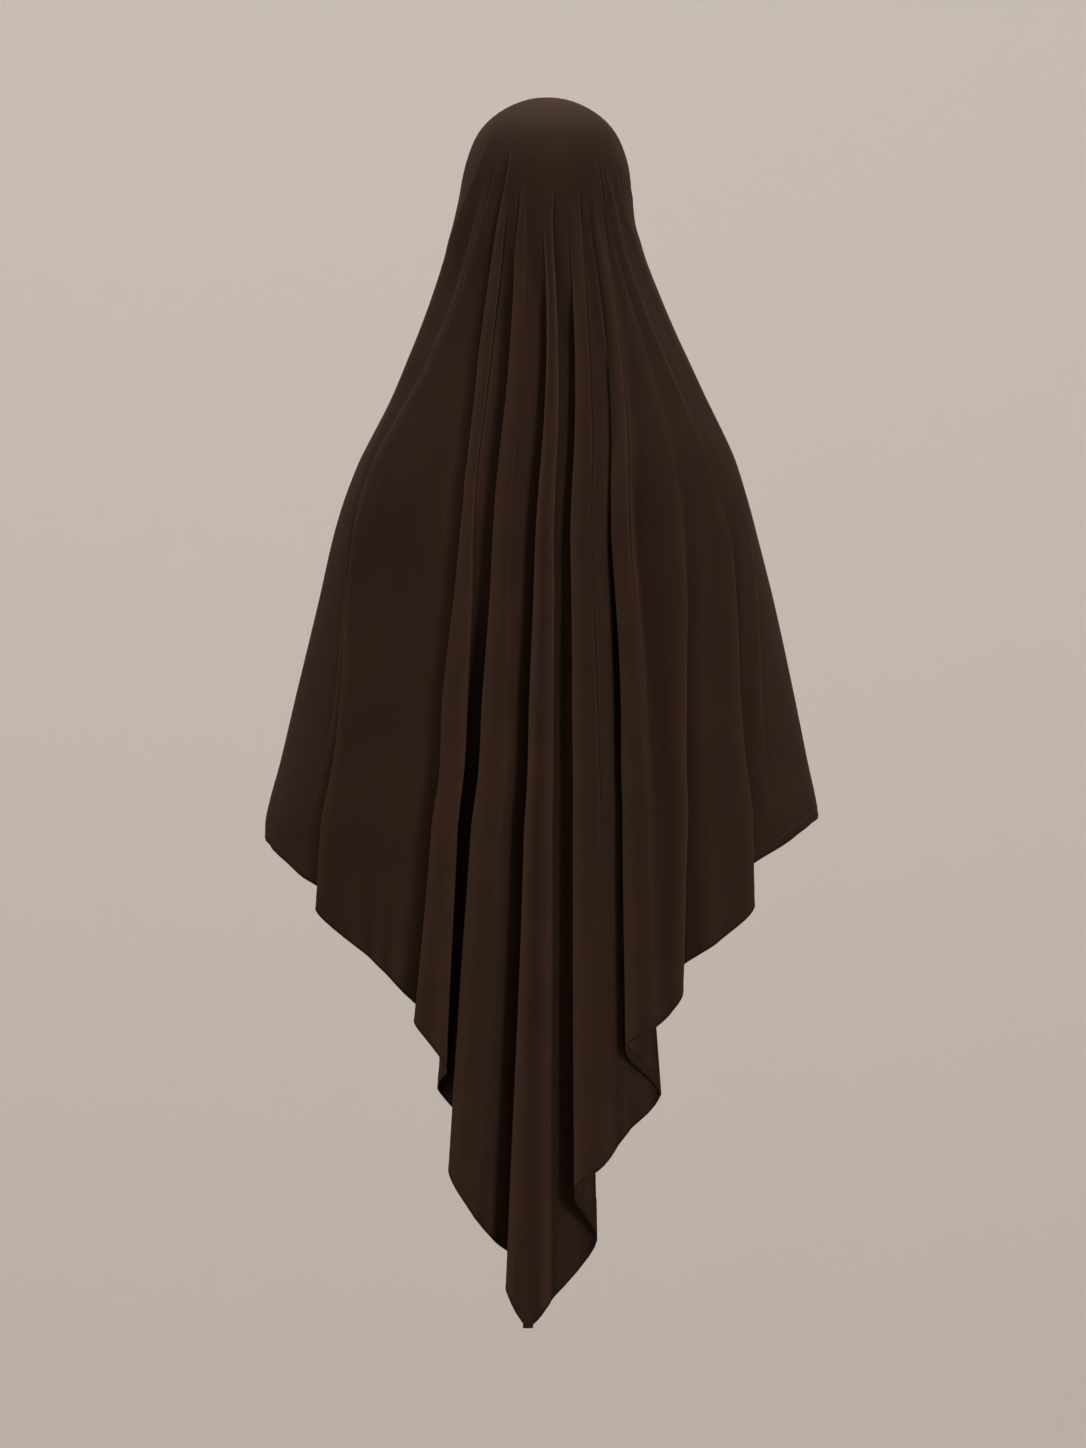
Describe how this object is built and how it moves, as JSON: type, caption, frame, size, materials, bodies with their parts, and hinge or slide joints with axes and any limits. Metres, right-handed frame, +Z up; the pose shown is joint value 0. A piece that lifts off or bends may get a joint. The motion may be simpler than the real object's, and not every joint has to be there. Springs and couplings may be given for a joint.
{
  "type": "khimar veil",
  "caption": "Long one-piece khimar veil in its worn form: fitted crown, oval face opening, deep folds and a pointed back hem.",
  "frame": {"origin": "where the crown of the head meets the inside of the cloth", "axes": "+Z up, +Y the way the wearer faces, +X to the wearer's right; the long point hangs on the -Y side"},
  "size_m": [0.5522, 0.3149, 1.2163],
  "materials": {
    "crepe": "matte dark brown crepe",
    "crepe_hem": "matte dark brown crepe, turned and stitched"
  },
  "bodies": {
    "root": {"veil_cloth": "crepe", "bottom_hem": "crepe_hem", "face_hem": "crepe_hem"}
  },
  "joints": []
}
